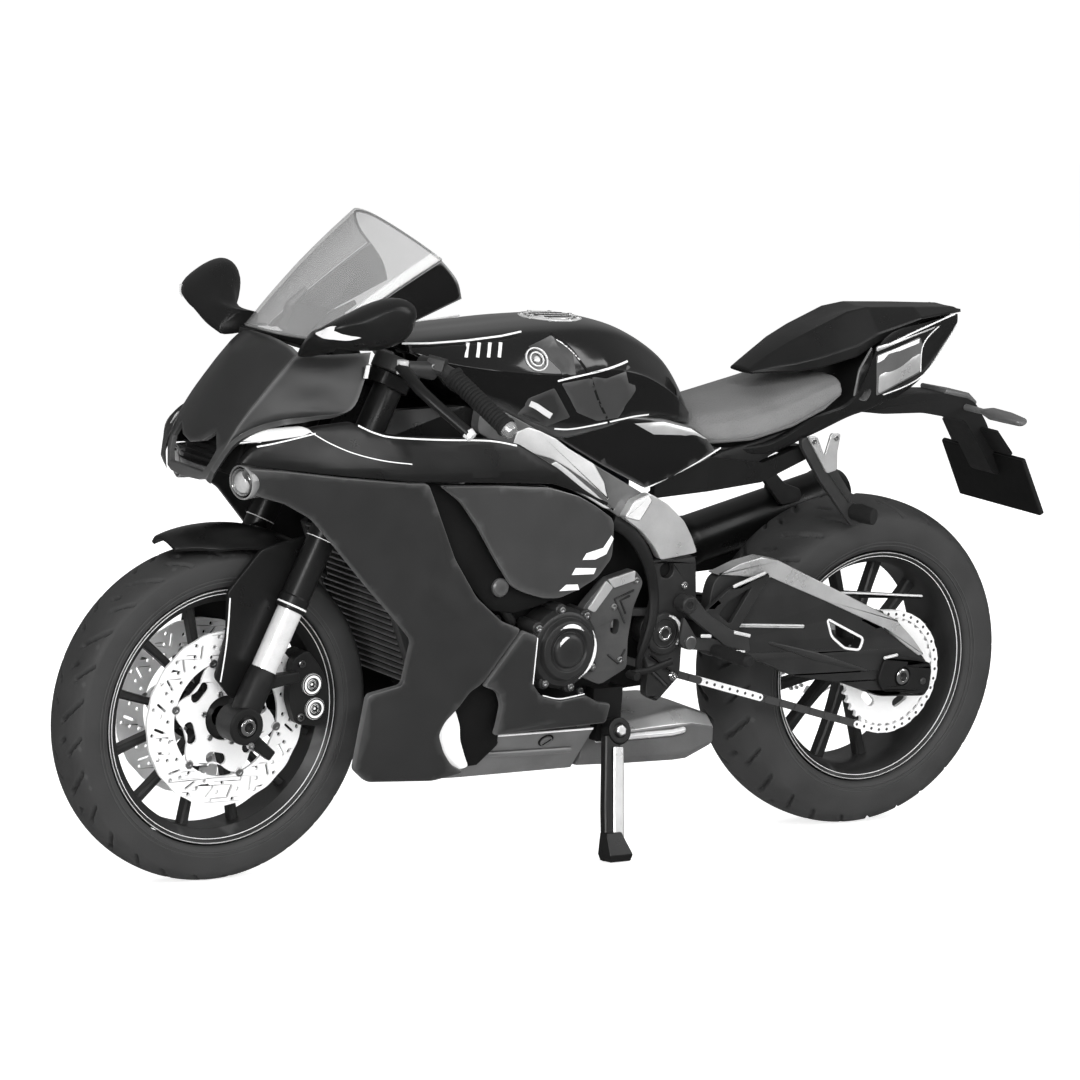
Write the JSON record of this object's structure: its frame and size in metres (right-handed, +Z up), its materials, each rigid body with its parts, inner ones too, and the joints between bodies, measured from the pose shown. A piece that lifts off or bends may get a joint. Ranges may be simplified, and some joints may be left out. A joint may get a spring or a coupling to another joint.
{
  "type": "rc motorcycle",
  "caption": "Faired sport motorcycle model leaning on its side stand, with turning fork, sprung suspension, spinning wheels, chain drive, hand levers, clear screen and raised tail.",
  "frame": {"origin": "bottom centre of the bounding box, on the ground the bike stands on", "axes": "+X forward along the bike, +Y to the rider's left (the side it leans to), +Z up"},
  "size_m": [0.2592, 0.0822, 0.1471],
  "materials": {
    "matt_shell": "fine satin-matt moulded plastic",
    "gloss_shell": "piano-black gloss",
    "black_metal": "satin black paint",
    "silver_metal": "satin silver",
    "chrome_metal": "bright polished",
    "bright_steel": "bright machined",
    "tyre_rubber": "matt black with moulded grooves",
    "grip_rubber": "ribbed matt rubber",
    "seat_vinyl": "satin moulded seat skin",
    "screen_clear": "clear light grey",
    "circuit_green": "circuit board",
    "cell_wrap": "shrink wrap"
  },
  "bodies": {
    "chassis": {"frame_spar_left": "black_metal", "frame_spar_right": "black_metal", "headstock": "black_metal", "engine_case": "black_metal", "left_engine_cover": "black_metal", "drive_motor": "bright_steel", "battery_pack": "cell_wrap", "steering_servo": "gloss_shell", "receiver_board": "circuit_green", "radiator": "black_metal", "belly_pan": "silver_metal", "exhaust_box": "silver_metal", "silencer": "black_metal", "shock_body": "silver_metal", "side_fairing_left": "matt_shell", "side_fairing_right": "matt_shell", "inner_panel_left": "matt_shell", "inner_panel_right": "matt_shell", "nose_cowl": "matt_shell", "windscreen": "screen_clear", "mirror_left": "gloss_shell", "mirror_right": "gloss_shell", "tank_cover": "gloss_shell", "rider_seat": "seat_vinyl", "pillion_pad": "gloss_shell", "tail_cowl": "matt_shell", "seat_rails": "black_metal", "plate_holder": "matt_shell", "rider_peg_left": "black_metal", "rider_peg_right": "black_metal", "passenger_peg_left": "silver_metal", "passenger_peg_right": "silver_metal"},
    "steering": {"steering_stem": "black_metal", "fork_tube_left": "black_metal", "fork_tube_right": "black_metal", "clip_on_left": "grip_rubber", "clip_on_right": "grip_rubber"},
    "clutch_lever": {"hand_lever_left": "black_metal"},
    "brake_lever": {"hand_lever_right": "black_metal"},
    "fork_lower": {"fork_slider_left": "chrome_metal", "fork_slider_right": "chrome_metal", "front_axle": "bright_steel", "front_caliper_left": "black_metal", "front_caliper_right": "black_metal", "front_mudguard": "matt_shell"},
    "front_wheel": {"front_tyre": "tyre_rubber", "front_rim": "black_metal", "front_disc_left": "bright_steel", "front_disc_right": "bright_steel"},
    "swingarm": {"swingarm": "black_metal", "drive_chain": "bright_steel", "rear_axle": "bright_steel", "shock_rod": "chrome_metal", "shock_spring": "bright_steel"},
    "rear_wheel": {"rear_tyre": "tyre_rubber", "rear_rim": "black_metal", "rear_sprocket": "bright_steel", "rear_disc": "bright_steel"},
    "drive_shaft": {"drive_sprocket": "bright_steel"},
    "side_stand": {"side_stand": "black_metal"}
  },
  "joints": [
    {"name": "steering_turn", "type": "hinge", "parent": "chassis", "child": "steering", "pos_m": [0.06913, -0.00297, 0.07953], "axis": [-0.4067, 0.0987, 0.9082], "range_deg": [-17, 17]},
    {"name": "fork_travel", "type": "slide", "parent": "steering", "child": "fork_lower", "axis": [-0.4067, 0.0987, 0.9082], "range_m": [0, 0.0045], "stiffness_N_per_m": 500, "springref_m": -0.008},
    {"name": "front_wheel_spin", "type": "hinge", "parent": "fork_lower", "child": "front_wheel", "pos_m": [0.09205, -0.00755, 0.03738], "axis": [0, 0.9942, -0.108], "continuous": true},
    {"name": "clutch_lever_pull", "type": "hinge", "parent": "steering", "child": "clutch_lever", "pos_m": [0.06275, 0.02429, 0.11379], "axis": [0, 0.6702, 0.7422], "range_deg": [0, 12], "stiffness_Nm_per_rad": 0.01, "springref_deg": -5.73},
    {"name": "brake_lever_pull", "type": "hinge", "parent": "steering", "child": "brake_lever", "pos_m": [0.06275, -0.02224, 0.11884], "axis": [0, 0.4952, -0.8688], "range_deg": [0, 12], "stiffness_Nm_per_rad": 0.01, "springref_deg": -5.73},
    {"name": "swingarm_pivot", "type": "hinge", "parent": "chassis", "child": "swingarm", "pos_m": [-0.01485, -0.00582, 0.05329], "axis": [0, 0.9942, -0.108], "range_deg": [0, 5], "stiffness_Nm_per_rad": 1.2, "springref_deg": -14.32, "deforming": ["shock_spring"]},
    {"name": "rear_wheel_spin", "type": "hinge", "parent": "swingarm", "child": "rear_wheel", "pos_m": [-0.08445, -0.00731, 0.03957], "axis": [0, 0.9942, -0.108], "continuous": true},
    {"name": "drive_sprocket_spin", "type": "hinge", "parent": "chassis", "child": "drive_shaft", "pos_m": [-0.00295, 0.01006, 0.05136], "axis": [0, 0.9942, -0.108], "continuous": true},
    {"name": "side_stand_fold", "type": "hinge", "parent": "chassis", "child": "side_stand", "pos_m": [-0.00345, 0.01206, 0.02901], "axis": [0, 0.9828, 0.1848], "range_deg": [0, 80]}
  ],
  "couplings": [
    {"joint": "drive_sprocket_spin", "follows": "rear_wheel_spin", "ratio": 3.2727}
  ]
}
